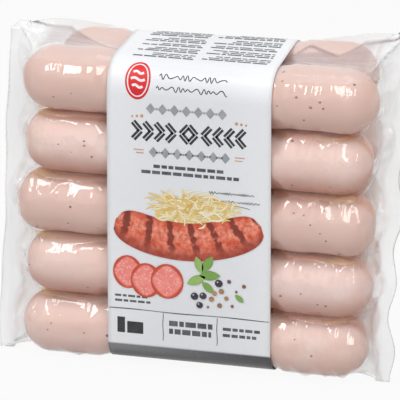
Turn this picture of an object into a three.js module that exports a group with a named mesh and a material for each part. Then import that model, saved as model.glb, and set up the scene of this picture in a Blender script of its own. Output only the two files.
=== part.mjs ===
import * as THREE from "three";

// A sealed clear pack of ten pale cooked sausages, five rows high and two layers deep,
// with a printed paper band round its middle. It stands upright on its lowest row.
// Millimetres, +Z up, the front of the pack towards -Y, sausages lying along X.

// Sausage stack
const ROWS = 5;
const ROW_PITCH = 28.0;
const LAYER_DEPTH = 30.4;
const STACK_HEIGHT = ROWS * ROW_PITCH;
const DOME_LENGTH = 14.0;
const DOME_FALL = 0.5;
// Left and right ends of the sausages measured out from the middle, lowest row first
const FRONT_ENDS = [
  [78.4, 76.4, 79.6, 76.2, 77.7],
  [77.2, 78.8, 79.2, 78.1, 80.8],
];
const BACK_ENDS = [
  [79.9, 77.4, 79.6, 77.8, 79.1],
  [79.2, 78.4, 78.5, 79.0, 77.9],
];
const LUMP = 0.012;
const LUMP_WAVELENGTH = 62.0;

// Film between the sausages
const VALLEY_ANGLE = THREE.MathUtils.degToRad(63);
const CORNER_ANGLE = THREE.MathUtils.degToRad(45);
const WEB_ANGLE = THREE.MathUtils.degToRad(120);
const VALLEY_DEPTH = 9.8;
const WEB_SAG = 5.6;
const VALLEY_RETREAT = 4.5;

// Flat sealed flange down each end, values in pairs being left and right
const FILM_FIN = 1.2;
const FLANGE_REACH = [88.0, 89.6];
const FLANGE_WAVE = 0.7;
const FLANGE_FOOT = 1.0;
const TAIL_START = 0.92;
const TAIL_END = 1.42;
const FLANGE_FOOT_Y = -21.5;
const FLANGE_TOP_Y = [1.0, 15.0];
const FLANGE_TOP_Z = [142.5, 146.5];
const CORNER_TUCK = 3.0;

// Ears of loose film standing up behind the top row, left and right
const EAR_HEIGHT = [4.8, 5.4];
const EAR_PLACE = [64.0, 80.0];
const EAR_SPREAD = [19.0, 17.0];
const EAR_LAYER = 0.78;
const EAR_LAYER_SPREAD = 0.13;

// Paper band
const BAND_HALF_WIDTH = 36.25;
const BAND_THICKNESS = 0.35;
const BAND_GAP = 0.3;
const BAND_CREASE_Z = 11.2;
const BAND_SEAM = [56.0, 69.0];
const SQUEEZE = 1.35;
const SQUEEZE_RUN = 6.0;

// The back layer sits a little higher to the right than to the left
const TILT = 0.019;

// Grid of the pack's skin
const ROW_STEPS = 8;
const DEPTH_STEPS = 10;
const HEIGHT_STEPS = ROWS * ROW_STEPS;
const WEB_STEP = DEPTH_STEPS / 2;
const MIDDLE_STATIONS = [0.0, 18.0, 36.7, 38.6, 40.6, 43.0, 53.0];
const DOME_STEPS = 5;
const TAIL_STEPS = 4;
const FLANGE_STEPS = 2;
const HALF_STATIONS = MIDDLE_STATIONS.length + DOME_STEPS + TAIL_STEPS + FLANGE_STEPS;

const { lerp, smoothstep } = THREE.MathUtils;
const HALF_DEPTH = LAYER_DEPTH / 2;
const HALF_PITCH = ROW_PITCH / 2;

// Height of a sausage's own axis in the given row
function rowCentre(row) {
  return HALF_PITCH + row * ROW_PITCH;
}

// Value of a list at a share of the stack's height: each row's own, changing over at the valleys
function betweenRows(list, height) {
  const place = THREE.MathUtils.clamp(height * ROWS - 0.5, 0, ROWS - 1);
  const low = Math.floor(place);
  const high = Math.min(low + 1, ROWS - 1);
  return lerp(list[low], list[high], smoothstep(place - low, 0.25, 0.75));
}

// Front half outline of one row: depth from the mid-plane, height, and how much of a ridge it is
function rowOutline(row, step) {
  const lowest = row === 0;
  const highest = row === ROWS - 1;
  const valleyBelow = step === 0 && !lowest;
  const valleyAbove = step === ROW_STEPS && !highest;
  if (valleyBelow || valleyAbove) {
    const boundary = (row + (valleyAbove ? 1 : 0)) * ROW_PITCH;
    return { depth: LAYER_DEPTH - VALLEY_DEPTH, z: boundary, ridge: 0 };
  }
  const first = lowest ? 0 : 1;
  const last = highest ? ROW_STEPS : ROW_STEPS - 1;
  const start = lowest ? -CORNER_ANGLE : -VALLEY_ANGLE;
  const stop = highest ? CORNER_ANGLE : VALLEY_ANGLE;
  const angle = lerp(start, stop, (step - first) / (last - first));
  const depth = HALF_DEPTH + HALF_DEPTH * Math.cos(angle);
  const z = rowCentre(row) + HALF_PITCH * Math.sin(angle);
  return { depth, z, ridge: Math.pow(Math.cos(angle), 2) };
}

// Outline over the top row or under the lowest: along one sausage, then the web to the next layer
function capOutline(above, step) {
  const near = Math.min(step, DEPTH_STEPS - step);
  const centre = rowCentre(above ? ROWS - 1 : 0);
  const way = above ? 1 : -1;
  const angle = lerp(CORNER_ANGLE, WEB_ANGLE, near / (WEB_STEP - 1));
  if (near === WEB_STEP) {
    return { depth: 0, z: centre + way * (HALF_PITCH - WEB_SAG), ridge: 0 };
  }
  const depth = HALF_DEPTH + HALF_DEPTH * Math.cos(angle);
  return { depth, z: centre + way * HALF_PITCH * Math.sin(angle), ridge: 1 };
}

// The skin over the sausages, away from their ends
function bodyOutline(depthStep, heightStep) {
  const onCap = heightStep === 0 || heightStep === HEIGHT_STEPS;
  const row = Math.min(Math.floor(heightStep / ROW_STEPS), ROWS - 1);
  const outline = onCap
    ? capOutline(heightStep > 0, depthStep)
    : rowOutline(row, heightStep - row * ROW_STEPS);
  const layer = depthStep < WEB_STEP ? -1 : 1;
  return { y: layer * outline.depth, z: outline.z, ridge: outline.ridge };
}

// Share of the way out from the flange to the skin left past the start of a domed end; fall is
// the share that a whole dome takes off
function domeShare(reach, fall) {
  if (reach <= 0) {
    return 1;
  }
  if (reach <= TAIL_START) {
    return 1 - fall * (1 - Math.sqrt(1 - reach * reach));
  }
  const last = 1 - fall * (1 - Math.sqrt(1 - TAIL_START * TAIL_START));
  const rest = THREE.MathUtils.clamp((TAIL_END - reach) / (TAIL_END - TAIL_START), 0, 1);
  return last * Math.pow(rest, 1.25);
}

// How tightly the band holds the pack at a distance from the middle
function hold(x) {
  const start = BAND_HALF_WIDTH + 2 * BAND_GAP;
  return 1 - smoothstep(Math.abs(x), start, start + SQUEEZE_RUN);
}

// The back layer's settling, shared by the pack and the band
function settle(x, y, z) {
  const back = smoothstep(y, -HALF_DEPTH, HALF_DEPTH);
  return z + TILT * x * back * (z / STACK_HEIGHT);
}

// Middle of the flange at a share of its height, on side 0 (left) or 1 (right)
function flangeLine(side, height) {
  const wave = FLANGE_WAVE * Math.sin(height * 11 + side * 2.1);
  const tuck = side * CORNER_TUCK * Math.pow(height, 6);
  return {
    x: FLANGE_REACH[side] - tuck + wave,
    y: lerp(FLANGE_FOOT_Y, FLANGE_TOP_Y[side], Math.pow(height, 1 + side * 0.6)) + wave,
    z: lerp(FLANGE_FOOT, FLANGE_TOP_Z[side], height),
  };
}

// Distance along the pack of one grid station, and how far past the dome's start it lies
function station(index, end, outer) {
  const domeStart = end - DOME_LENGTH;
  const middle = MIDDLE_STATIONS.length - 1;
  if (index <= middle) {
    const x = MIDDLE_STATIONS[index];
    return { x, reach: 0 };
  }
  const tailStation = middle + 1 + DOME_STEPS;
  if (index <= tailStation) {
    const share = (index - middle - 1) / DOME_STEPS;
    const reach = TAIL_START * Math.sin((share * Math.PI) / 2);
    return { x: domeStart + reach * DOME_LENGTH, reach };
  }
  const flangeStation = tailStation + TAIL_STEPS;
  const tail = Math.min(index - tailStation, TAIL_STEPS) / TAIL_STEPS;
  const reach = lerp(TAIL_START, TAIL_END, tail);
  const x = domeStart + reach * DOME_LENGTH;
  const past = Math.max(index - flangeStation, 0) / (FLANGE_STEPS - 1);
  return { x: lerp(x, outer, past), reach };
}

// One vertex of the pack's skin from its place in the grid
function skinPoint(index, depthStep, heightStep) {
  const side = index < 0 ? 0 : 1;
  const way = side ? 1 : -1;
  const height = heightStep / HEIGHT_STEPS;
  const layer = depthStep / DEPTH_STEPS;
  const body = bodyOutline(depthStep, heightStep);
  const frontEnd = betweenRows(FRONT_ENDS[side], height);
  const backEnd = betweenRows(BACK_ENDS[side], height);
  const end = lerp(frontEnd, backEnd, layer) - VALLEY_RETREAT * (1 - body.ridge);
  const flange = flangeLine(side, height);
  const place = station(Math.abs(index), end, flange.x);
  const x = way * place.x;

  const tightness = hold(x);
  const lump = LUMP * Math.sin(x / (LUMP_WAVELENGTH / (2 * Math.PI)) + height * 19 + layer * 2);
  const swell = 1 - (tightness * SQUEEZE) / LAYER_DEPTH + (1 - tightness) * lump;
  const shrink = 1 - (tightness * SQUEEZE) / (STACK_HEIGHT / 2);
  const bodyY = body.y * swell;
  const middleZ = STACK_HEIGHT / 2;
  const bodyZ = middleZ + (body.z - middleZ) * shrink;

  const fall = Math.min(DOME_FALL, HALF_DEPTH / Math.abs(body.y - flange.y));
  const share = domeShare(place.reach, fall);
  const finY = flange.y + FILM_FIN * (layer - 0.5);
  const earRise = Math.exp(-Math.pow((place.x - EAR_PLACE[side]) / EAR_SPREAD[side], 2));
  const earLayer = Math.exp(-Math.pow((layer - EAR_LAYER) / EAR_LAYER_SPREAD, 2));
  const onTop = heightStep === HEIGHT_STEPS ? 1 : 0;
  const ear = onTop * EAR_HEIGHT[side] * earRise * earLayer * (1 - tightness) * share;
  const y = lerp(finY, bodyY, share);
  const z = lerp(flange.z, bodyZ, share) + ear;
  return new THREE.Vector3(x, y, settle(x, y, z));
}

// The sealed pack: film with the sausages in it, as one solid
function pouchGeometry() {
  const steps = 2 * (HALF_STATIONS - 1);
  const box = new THREE.BoxGeometry(
    steps, DEPTH_STEPS, HEIGHT_STEPS,
    steps, DEPTH_STEPS, HEIGHT_STEPS,
  );
  const position = box.attributes.position;
  for (let n = 0; n < position.count; n += 1) {
    const index = Math.round(position.getX(n));
    const depthStep = Math.round(position.getY(n) + DEPTH_STEPS / 2);
    const heightStep = Math.round(position.getZ(n) + HEIGHT_STEPS / 2);
    const point = skinPoint(index, depthStep, heightStep);
    position.setXYZ(n, point.x, point.y, point.z);
  }
  return box;
}

// Outline of the band's wall at a distance out from the squeezed pack
function bandOutline(path, out, seam) {
  const squash = 1 - SQUEEZE / LAYER_DEPTH;
  const front = (LAYER_DEPTH * squash) + out;
  const axisY = HALF_DEPTH * squash;
  const top = STACK_HEIGHT - SQUEEZE + out;
  const foot = SQUEEZE - out;
  const shoulder = HALF_PITCH + out;
  const creaseY = lerp(axisY, front, 0.775);
  path.moveTo(-axisY, foot);
  path.lineTo(axisY, foot);
  path.quadraticCurveTo(creaseY, foot, front, BAND_CREASE_Z);
  if (seam > 0) {
    path.lineTo(front, BAND_SEAM[0] - seam);
    path.lineTo(front + seam, BAND_SEAM[0]);
    path.lineTo(front + seam, BAND_SEAM[1]);
    path.lineTo(front, BAND_SEAM[1] + seam);
  }
  path.lineTo(front, top - shoulder);
  path.quadraticCurveTo(front, top, axisY, top);
  path.lineTo(-axisY, top);
  path.quadraticCurveTo(-front, top, -front, top - shoulder);
  path.lineTo(-front, BAND_CREASE_Z);
  path.quadraticCurveTo(-creaseY, foot, -axisY, foot);
  path.closePath();
  return path;
}

// The paper band: a closed loop, flat over the rows, lapped once at the back
function bandGeometry() {
  const wall = bandOutline(new THREE.Shape(), BAND_GAP + BAND_THICKNESS, BAND_THICKNESS);
  wall.holes.push(bandOutline(new THREE.Path(), BAND_GAP, 0));
  const band = new THREE.ExtrudeGeometry(wall, {
    depth: 2 * BAND_HALF_WIDTH,
    steps: 4,
    curveSegments: 14,
    bevelEnabled: false,
  });
  band.translate(0, 0, -BAND_HALF_WIDTH);
  const turn = new THREE.Matrix4().makeBasis(
    new THREE.Vector3(0, 1, 0),
    new THREE.Vector3(0, 0, 1),
    new THREE.Vector3(1, 0, 0),
  );
  band.applyMatrix4(turn);
  const position = band.attributes.position;
  for (let n = 0; n < position.count; n += 1) {
    const z = settle(position.getX(n), position.getY(n), position.getZ(n));
    position.setZ(n, z);
  }
  return band;
}

// Shift that stands the pack on the ground with its box centred on the origin
function standing(geometry) {
  geometry.computeBoundingBox();
  const centre = geometry.boundingBox.getCenter(new THREE.Vector3());
  return new THREE.Vector3(-centre.x, -centre.y, -geometry.boundingBox.min.z);
}

function part(name, geometry, colour, roughness) {
  const material = new THREE.MeshStandardMaterial({ color: colour, roughness, metalness: 0 });
  const mesh = new THREE.Mesh(geometry, material);
  mesh.name = name;
  return mesh;
}

const pouch = pouchGeometry();
const band = bandGeometry();
const shift = standing(pouch);
const pack = new THREE.Group();
for (const geometry of [pouch, band]) {
  geometry.translate(shift.x, shift.y, shift.z);
  geometry.computeVertexNormals();
}
pack.add(part("pouch", pouch, 0xdfbcae, 0.3));
pack.add(part("label_band", band, 0xe6e8ea, 0.55));

export default pack;
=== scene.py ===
import itertools
import math
import random

import bmesh
import bpy
import numpy as np
from bpy.props import (
    FloatProperty,
    FloatVectorProperty,
    IntProperty,
    PointerProperty,
)
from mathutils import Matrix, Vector, noise


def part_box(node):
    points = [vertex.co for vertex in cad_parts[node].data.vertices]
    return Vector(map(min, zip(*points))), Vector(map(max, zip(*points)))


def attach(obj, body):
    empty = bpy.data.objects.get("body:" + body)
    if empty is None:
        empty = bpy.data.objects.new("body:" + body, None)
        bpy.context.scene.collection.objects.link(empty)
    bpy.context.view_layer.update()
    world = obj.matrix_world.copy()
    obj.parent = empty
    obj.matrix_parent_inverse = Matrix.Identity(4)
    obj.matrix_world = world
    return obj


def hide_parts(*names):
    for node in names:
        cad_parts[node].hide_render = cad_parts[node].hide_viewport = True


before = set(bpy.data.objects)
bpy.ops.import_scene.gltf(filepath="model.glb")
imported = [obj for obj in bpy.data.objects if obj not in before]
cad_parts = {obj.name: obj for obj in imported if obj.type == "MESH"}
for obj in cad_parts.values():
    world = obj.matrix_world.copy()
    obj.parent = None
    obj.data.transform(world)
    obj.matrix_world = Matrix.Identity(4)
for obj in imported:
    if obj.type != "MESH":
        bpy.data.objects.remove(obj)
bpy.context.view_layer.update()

bl_info = {
    "name": "Vacuum pack of sausages",
    "version": (1, 0, 0),
    "blender": (4, 5, 0),
    "location": "View3D > Sidebar > Sausage Pack",
    "description": "Builds a clear sealed pack of cooked sausages with a paper band",
    "category": "Object",
}

MM = 0.001

# Stack of sausages, in millimetres, before the pack is stood on the ground
ROWS = 5
ROW_PITCH = 28.0
LAYER_DEPTH = 30.4
STACK_HEIGHT = ROWS * ROW_PITCH
HALF_DEPTH = LAYER_DEPTH / 2
HALF_PITCH = ROW_PITCH / 2
DOME_LENGTH = 14.0
# Left and right ends of the sausages measured out from the middle, lowest row first
FRONT_ENDS = ((78.4, 76.4, 79.6, 76.2, 77.7), (77.2, 78.8, 79.2, 78.1, 80.8))
BACK_ENDS = ((79.9, 77.4, 79.6, 77.8, 79.1), (79.2, 78.4, 78.5, 79.0, 77.9))
BACK_SHORTER = ((4.0, 3.0, 5.0, 3.5, 9.0), (4.0, 3.0, 4.5, 3.5, 4.0))

# Film between the rows and over the two layers
VALLEY_ANGLE = math.radians(63)
CORNER_ANGLE = math.radians(45)
WEB_ANGLE = math.radians(120)
VALLEY_DEPTH = 9.8
WEB_SAG = 5.6
VALLEY_RETREAT = 4.5
TAIL_START = 0.92
TAIL_END = 1.42

# Sealed flanges, left and right
FLANGE_REACH = (88.0, 89.6)
FLANGE_WAVE = 0.7
FLANGE_SCALLOP = (0.4, 2.8)
FLANGE_FOOT = 1.0
FLANGE_FOOT_Y = -21.5
FLANGE_TOP_Y = (1.0, 15.0)
FLANGE_TOP_Z = (142.5, 146.5)
CORNER_TUCK = 1.4
GUSSET_DEPTH = 12.0
GUSSET_TUCK = 0.5

# Paper band
BAND_HALF_WIDTH = 36.25
BAND_THICKNESS = 0.35
BAND_GAP = 0.3
BAND_CREASE_Z = 11.2
BAND_SEAM = (56.0, 69.0)
SQUEEZE = 1.35
SQUEEZE_RUN = 6.0
TILT = 0.019

FRONT, BACK = -1, 1


def between(low, high, share):
    return low + (high - low) * share


def smooth(value, low, high):
    share = np.clip((value - low) / (high - low), 0.0, 1.0)
    return share * share * (3 - 2 * share)


def between_rows(values, height):
    """Value of a list at a share of the stack's height, changing over at the valleys."""
    values = np.array(values)
    place = np.clip(height * ROWS - 0.5, 0, ROWS - 1)
    low = np.floor(place).astype(int)
    high = np.minimum(low + 1, ROWS - 1)
    return between(values[low], values[high], smooth(place - low, 0.25, 0.75))


def hold(x):
    """How tightly the band holds the pack at a distance from its middle."""
    start = BAND_HALF_WIDTH + 2 * BAND_GAP
    return 1 - smooth(np.abs(x), start, start + SQUEEZE_RUN)


def stand_shift():
    """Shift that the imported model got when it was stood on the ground, read from its band."""
    low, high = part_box("label_band")
    front = LAYER_DEPTH - SQUEEZE + BAND_GAP + BAND_THICKNESS
    return np.array([
        (low.x + high.x) / 2 / MM,
        low.y / MM + front,
        low.z / MM - (SQUEEZE - BAND_GAP - BAND_THICKNESS),
    ])


SHIFT = stand_shift()


def settled(points):
    """Points of the upright stack after the back layer has settled and the pack stands."""
    out = np.array(points, float)
    back = smooth(out[..., 1], -HALF_DEPTH, HALF_DEPTH)
    out[..., 2] += TILT * out[..., 0] * back * out[..., 2] / STACK_HEIGHT
    return out + SHIFT


def place_vertices(mesh, points):
    """Gives a mesh's vertices their places, in metres, from points in millimetres."""
    mesh.vertices.foreach_set("co", (np.asarray(points) * MM).astype(np.float32).ravel())
    mesh.update()


def vertex_points(mesh):
    points = np.zeros(len(mesh.vertices) * 3, np.float32)
    mesh.vertices.foreach_get("co", points)
    return points.reshape(-1, 3)


def finished(bm, name):
    """A linked object from a bmesh."""
    mesh = bpy.data.meshes.new(name)
    bm.to_mesh(mesh)
    bm.free()
    piece = bpy.data.objects.new(name, mesh)
    bpy.context.scene.collection.objects.link(piece)
    mesh.shade_smooth()
    return piece


def mark(mesh, name, values):
    """A number at each vertex, for the materials to read."""
    layer = mesh.attributes.new(name, "FLOAT", "POINT")
    layer.data.foreach_set("value", np.asarray(values, np.float32))


# ---- node helpers ---------------------------------------------------------------------------

PAPER_TOOTH = 900.0
FLECK_SCALE = 900.0


class Nodes:
    """Nodes being put together in a tree."""

    def __init__(self, tree):
        self.tree = tree
        tree.nodes.clear()

    def node(self, kind, inputs=None, **settings):
        made = self.tree.nodes.new(kind)
        for key, value in settings.items():
            setattr(made, key, value)
        for key, value in (inputs or {}).items():
            self.feed(made.inputs[key], value)
        return made

    def feed(self, socket, value):
        if isinstance(value, bpy.types.NodeSocket):
            self.tree.links.new(value, socket)
        else:
            socket.default_value = value

    def place(self):
        return self.node("ShaderNodeTexCoord").outputs["Object"]

    def number(self, name):
        return self.node("ShaderNodeAttribute", attribute_name=name).outputs["Fac"]

    def scaled(self, vector, scale):
        return self.node("ShaderNodeMapping", {"Vector": vector, "Scale": scale}).outputs[0]

    def cloud(self, vector, scale, detail=3.0, rough=0.5, distort=0.0):
        return self.node("ShaderNodeTexNoise", {
            "Vector": vector, "Scale": scale, "Detail": detail, "Roughness": rough,
            "Distortion": distort,
        }).outputs["Fac"]

    def cells(self, vector, scale):
        return self.node("ShaderNodeTexVoronoi", {"Vector": vector, "Scale": scale}).outputs

    def sum(self, operation, first, second=0.0):
        return self.node(
            "ShaderNodeMath", {0: first, 1: second}, operation=operation).outputs[0]

    def times(self, first, second):
        return self.sum("MULTIPLY", first, second)

    def ramp(self, value, low, high, to_low=0.0, to_high=1.0):
        return self.node("ShaderNodeMapRange", {
            "Value": value, "From Min": low, "From Max": high, "To Min": to_low,
            "To Max": to_high,
        }, interpolation_type="SMOOTHSTEP").outputs["Result"]

    def mix(self, share, first, second):
        return self.node(
            "ShaderNodeMix", {0: share, 6: first, 7: second}, data_type="RGBA").outputs[2]

    def blend(self, share, first, second):
        """Two shaders mixed by a share."""
        return self.node("ShaderNodeMixShader", {0: share, 1: first, 2: second}).outputs[0]

    def coats(self, base, *coats):
        """A colour with coats laid over it in turn, each a share and a colour."""
        for share, colour in coats:
            base = self.mix(share, base, colour)
        return base

    def bump(self, height, strength, distance, normal=None):
        inputs = {"Height": height, "Strength": strength, "Distance": distance}
        if normal is not None:
            inputs["Normal"] = normal
        return self.node("ShaderNodeBump", inputs).outputs["Normal"]


class Finish(Nodes):
    """A material being put together from nodes."""

    def __init__(self, name):
        self.material = bpy.data.materials.new(name)
        self.material.use_nodes = True
        super().__init__(self.material.node_tree)

    def surface(self, shader):
        self.node("ShaderNodeOutputMaterial", {"Surface": shader})
        return self.material

    def body(self, **inputs):
        """The main shader, with its inputs named by words joined with underscores."""
        named = {key.replace("_", " "): value for key, value in inputs.items()}
        return self.node("ShaderNodeBsdfPrincipled", named).outputs["BSDF"]

    def tooth(self, low, high):
        """The fine tooth of paper: its height, and a roughness between two values."""
        return self.node("ShaderNodeGroup", {
            "Vector": self.place(), "Scale": PAPER_TOOTH, "Least Roughness": low,
            "Most Roughness": high,
        }, node_tree=group_tooth()).outputs

    def paper_body(self, base, low, high, **inputs):
        """Ink or paper with a fine tooth in its roughness and bump."""
        tooth = self.tooth(low, high)
        bump = self.bump(tooth["Height"], 0.06, 0.0002, inputs.pop("Normal", None))
        return self.body(Base_Color=base, Roughness=tooth["Roughness"], Normal=bump, **inputs)


def tone(*values):
    """Linear colour from the red, green and blue values, 0 to 255, of a screen."""
    shares = np.array(values) / 255
    linear = np.where(shares <= 0.04045, shares / 12.92, ((shares + 0.055) / 1.055) ** 2.4)
    return (*map(float, linear), 1.0)


def new_group(name, inputs, outputs):
    """A node group with a Vector and named numbers, its nodes to be put in, and its inputs."""
    group = bpy.data.node_groups.new(name, "ShaderNodeTree")
    face = group.interface
    face.new_socket(name="Vector", in_out="INPUT", socket_type="NodeSocketVector")
    for socket, default in inputs:
        made = face.new_socket(name=socket, in_out="INPUT", socket_type="NodeSocketFloat")
        made.default_value = default
    for socket in outputs:
        face.new_socket(name=socket, in_out="OUTPUT", socket_type="NodeSocketFloat")
    f = Nodes(group)
    return group, f, f.node("NodeGroupInput").outputs


def group_speckle():
    """Node group: soft mottling and sparse dark specks, by place."""
    group, f, given = new_group("Meat Speckle", (
        ("Mottle Scale", 90.0), ("Speck Scale", 260.0), ("Speck Size", 0.16),
        ("Speck Share", 0.06),
    ), ("Mottle", "Speck"))
    cells = f.cells(given["Vector"], given["Speck Scale"])
    near = f.sum("LESS_THAN", cells["Distance"], given["Speck Size"])
    split = f.node("ShaderNodeSeparateColor", {"Color": cells["Color"]})
    rare = f.sum("LESS_THAN", split.outputs[0], given["Speck Share"])
    mottle = f.cloud(given["Vector"], given["Mottle Scale"], 4.0, 0.62)
    f.node("NodeGroupOutput", {"Mottle": mottle, "Speck": f.times(near, rare)})
    return group


def group_tooth():
    """Node group: the fine tooth of paper, built once for the band and all its print."""
    if "Paper Tooth" in bpy.data.node_groups:
        return bpy.data.node_groups["Paper Tooth"]
    group, f, given = new_group("Paper Tooth", (
        ("Scale", PAPER_TOOTH), ("Least Roughness", 0.38), ("Most Roughness", 0.52),
    ), ("Height", "Roughness"))
    height = f.cloud(given["Vector"], given["Scale"])
    rough = f.ramp(height, 0.3, 0.8, given["Least Roughness"], given["Most Roughness"])
    f.node("NodeGroupOutput", {"Height": height, "Roughness": rough})
    return group


# ---- settings -------------------------------------------------------------------------------


class PackSizes(bpy.types.PropertyGroup):
    """Sizes of the pack that a user may change."""

    film_gap: FloatProperty(
        name="Film gap",
        description="Space between the film and the sausages it is drawn onto",
        default=0.25 * MM, min=0.05 * MM, max=2 * MM, subtype="DISTANCE", unit="LENGTH",
    )
    ear_rise: FloatProperty(
        name="Ear rise",
        description="How far the loose film stands up behind the top row",
        default=3.6 * MM, min=0.0, max=9 * MM, subtype="DISTANCE", unit="LENGTH",
    )
    crumple: FloatProperty(
        name="Crumple",
        description="Height of the film's creased facets near the sausage ends",
        default=1.0 * MM, min=0.0, max=2 * MM, subtype="DISTANCE", unit="LENGTH",
    )
    unevenness: FloatProperty(
        name="Unevenness",
        description="How far a sausage's skin departs from a true round",
        default=0.65 * MM, min=0.0, max=1 * MM, subtype="DISTANCE", unit="LENGTH",
    )
    settle_passes: IntProperty(
        name="Film passes",
        description="Passes in which the film is drawn onto the sausages",
        default=220, min=20, max=600,
    )


class PackColours(bpy.types.PropertyGroup):
    """Colours of the pack that a user may change."""

    meat: FloatVectorProperty(
        name="Sausage", description="Pale skin of the sausages", subtype="COLOR",
        size=4, min=0.0, max=1.0, default=tone(244, 217, 210),
    )
    juice: FloatVectorProperty(
        name="Juice", description="Brown juice in the valleys between rows", subtype="COLOR",
        size=4, min=0.0, max=1.0, default=tone(222, 158, 126),
    )
    paper: FloatVectorProperty(
        name="Paper", description="White coated paper of the band", subtype="COLOR",
        size=4, min=0.0, max=1.0, default=tone(238, 239, 242),
    )
    emblem: FloatVectorProperty(
        name="Emblem", description="Red field printed near the top of the band",
        subtype="COLOR", size=4, min=0.0, max=1.0, default=tone(222, 22, 32),
    )


# ---- sausages -------------------------------------------------------------------------------


def squeezed(x):
    """Shares of the full depth and height left under the band."""
    held = hold(x)
    return 1 - held * SQUEEZE / LAYER_DEPTH, 1 - held * SQUEEZE / (STACK_HEIGHT / 2)


def row_centre(row):
    return HALF_PITCH + row * ROW_PITCH


# How ruddy the skins are and how blunt the ends are, from the lowest row to the top one
RUDDY = (0.2, 0.15, 0.75, 0.1, 0.8)
BLUNT = (2.05, 2.2, 2.6, 2.3, 1.9)
# Length left off each end of a sausage for the film drawn over it
END_GAP = 0.6
RINGS = 72
SEGMENTS = 80


class Sausage:
    """Place and shape of one sausage, in millimetres, before the stack settles."""

    # Room left round the skin, and how square its section is pressed, 2 being round
    SKIN = 0.45
    PRESSED = 2.3

    def __init__(self, layer, row):
        self.layer = layer
        self.row = row
        self.name = f"sausage_{'front' if layer == FRONT else 'back'}_{row + 1}"
        self.ends = tuple(
            FRONT_ENDS[side][row] if layer == FRONT
            else BACK_ENDS[side][row] - BACK_SHORTER[side][row]
            for side in (0, 1))
        self.seed = 3.7 * row + (11.3 if layer == BACK else 0.0)
        self.blunt = BLUNT[row]

    def axis(self, x):
        """Centre line and radii at a distance along the pack."""
        deep, tall = squeezed(x)
        middle = STACK_HEIGHT / 2
        bow = 0.25 * np.sin(x / 33.0 + self.seed)
        y = self.layer * HALF_DEPTH * deep
        z = middle + (row_centre(self.row) - middle) * tall + bow
        loose = 1 - hold(x)
        lump = 0.012 * loose * np.sin(x / 9.9 + self.seed * 1.7)
        radius_y = (HALF_DEPTH - self.SKIN) * deep * (1 + lump)
        radius_z = (HALF_PITCH - self.SKIN) * tall * (1 + 0.5 * lump)
        return y, z, radius_y, radius_z

    def dome(self, x):
        """How far past the start of its domed end a point lies, as a share of the dome."""
        end = np.where(x < 0, self.ends[0], self.ends[1]) - END_GAP
        return np.maximum(0.0, np.abs(x) - (end - DOME_LENGTH)) / DOME_LENGTH

    def pushed_out(self, points, gap):
        """Points, with those inside the skin moved out onto it, and how far they were off it."""
        x, y, z = points[..., 0], points[..., 1], points[..., 2]
        axis_y, axis_z, radius_y, radius_z = self.axis(x)
        past = self.dome(x)
        across_y = (y - axis_y) / (radius_y + gap)
        across_z = (z - axis_z) / (radius_z + gap)
        along = past * DOME_LENGTH / (DOME_LENGTH + gap)
        across = (np.abs(across_y) ** self.PRESSED + np.abs(across_z) ** self.PRESSED) ** (
            1 / self.PRESSED)
        reach = (along ** self.blunt + across ** self.blunt) ** (1 / self.blunt)
        inside = reach < 1
        grow = np.where(inside, 1 / np.maximum(reach, 0.2), 1.0)
        out = points.copy()
        end_start = np.abs(x) - past * DOME_LENGTH
        out[..., 0] = np.sign(x) * (end_start + past * DOME_LENGTH * grow)
        out[..., 1] = axis_y + (y - axis_y) * grow
        out[..., 2] = axis_z + (z - axis_z) * grow
        clearance = (reach - 1) * np.minimum(radius_y, radius_z)
        return out, clearance


SAUSAGES = [Sausage(layer, row) for layer in (FRONT, BACK) for row in range(ROWS)]


def sausage_marks(sausage, turn, past):
    """Numbers at each vertex of a sausage that its material reads, by name."""
    facing = np.sin(turn)
    outer = np.cos(turn) * sausage.layer > 0
    top = (sausage.row == ROWS - 1) & (facing > 0)
    foot = (sausage.row == 0) & (facing < 0)
    # Juice in the valleys between rows and on the faces between the two layers; it reaches further
    # up the side facing down, so it is partly painted shade.
    juice_and_shade = np.where(facing > 0, smooth(facing, 0.86, 1.0), smooth(-facing, 0.72, 1.0))
    juice_and_shade = np.where(top | foot, juice_and_shade * 0.12, juice_and_shade)
    return {
        "juice_and_shade": np.where(outer | top, juice_and_shade, np.maximum(juice_and_shade, 0.5)),
        # Painted shade: each skin darker on its side facing down, less at the lowest row's foot.
        "under": np.where(foot, 0.35, 1.0) * smooth(-facing, -0.15, 0.9),
        "end": smooth(past, 0.3, 1.0),
        "ruddy": np.full_like(turn, RUDDY[sausage.row]),
    }


def drawn_out(sausage, share):
    """Distances along the pack at shares of the way over a sausage, from its left tip."""
    left, right = (end - END_GAP for end in sausage.ends)
    quarter = DOME_LENGTH * math.pi / 2
    straight = left + right - 2 * DOME_LENGTH
    run = share * (straight + 2 * quarter)
    near_left = run < quarter
    near_right = run > quarter + straight
    angle = np.where(near_left, run / quarter, np.where(
        near_right, (straight + 2 * quarter - run) / quarter, 1.0)) * math.pi / 2
    x = -left + DOME_LENGTH + (run - quarter)
    x = np.where(near_left, -left + DOME_LENGTH * (1 - np.cos(angle)), x)
    return np.where(near_right, right - DOME_LENGTH * (1 - np.cos(angle)), x)


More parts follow.
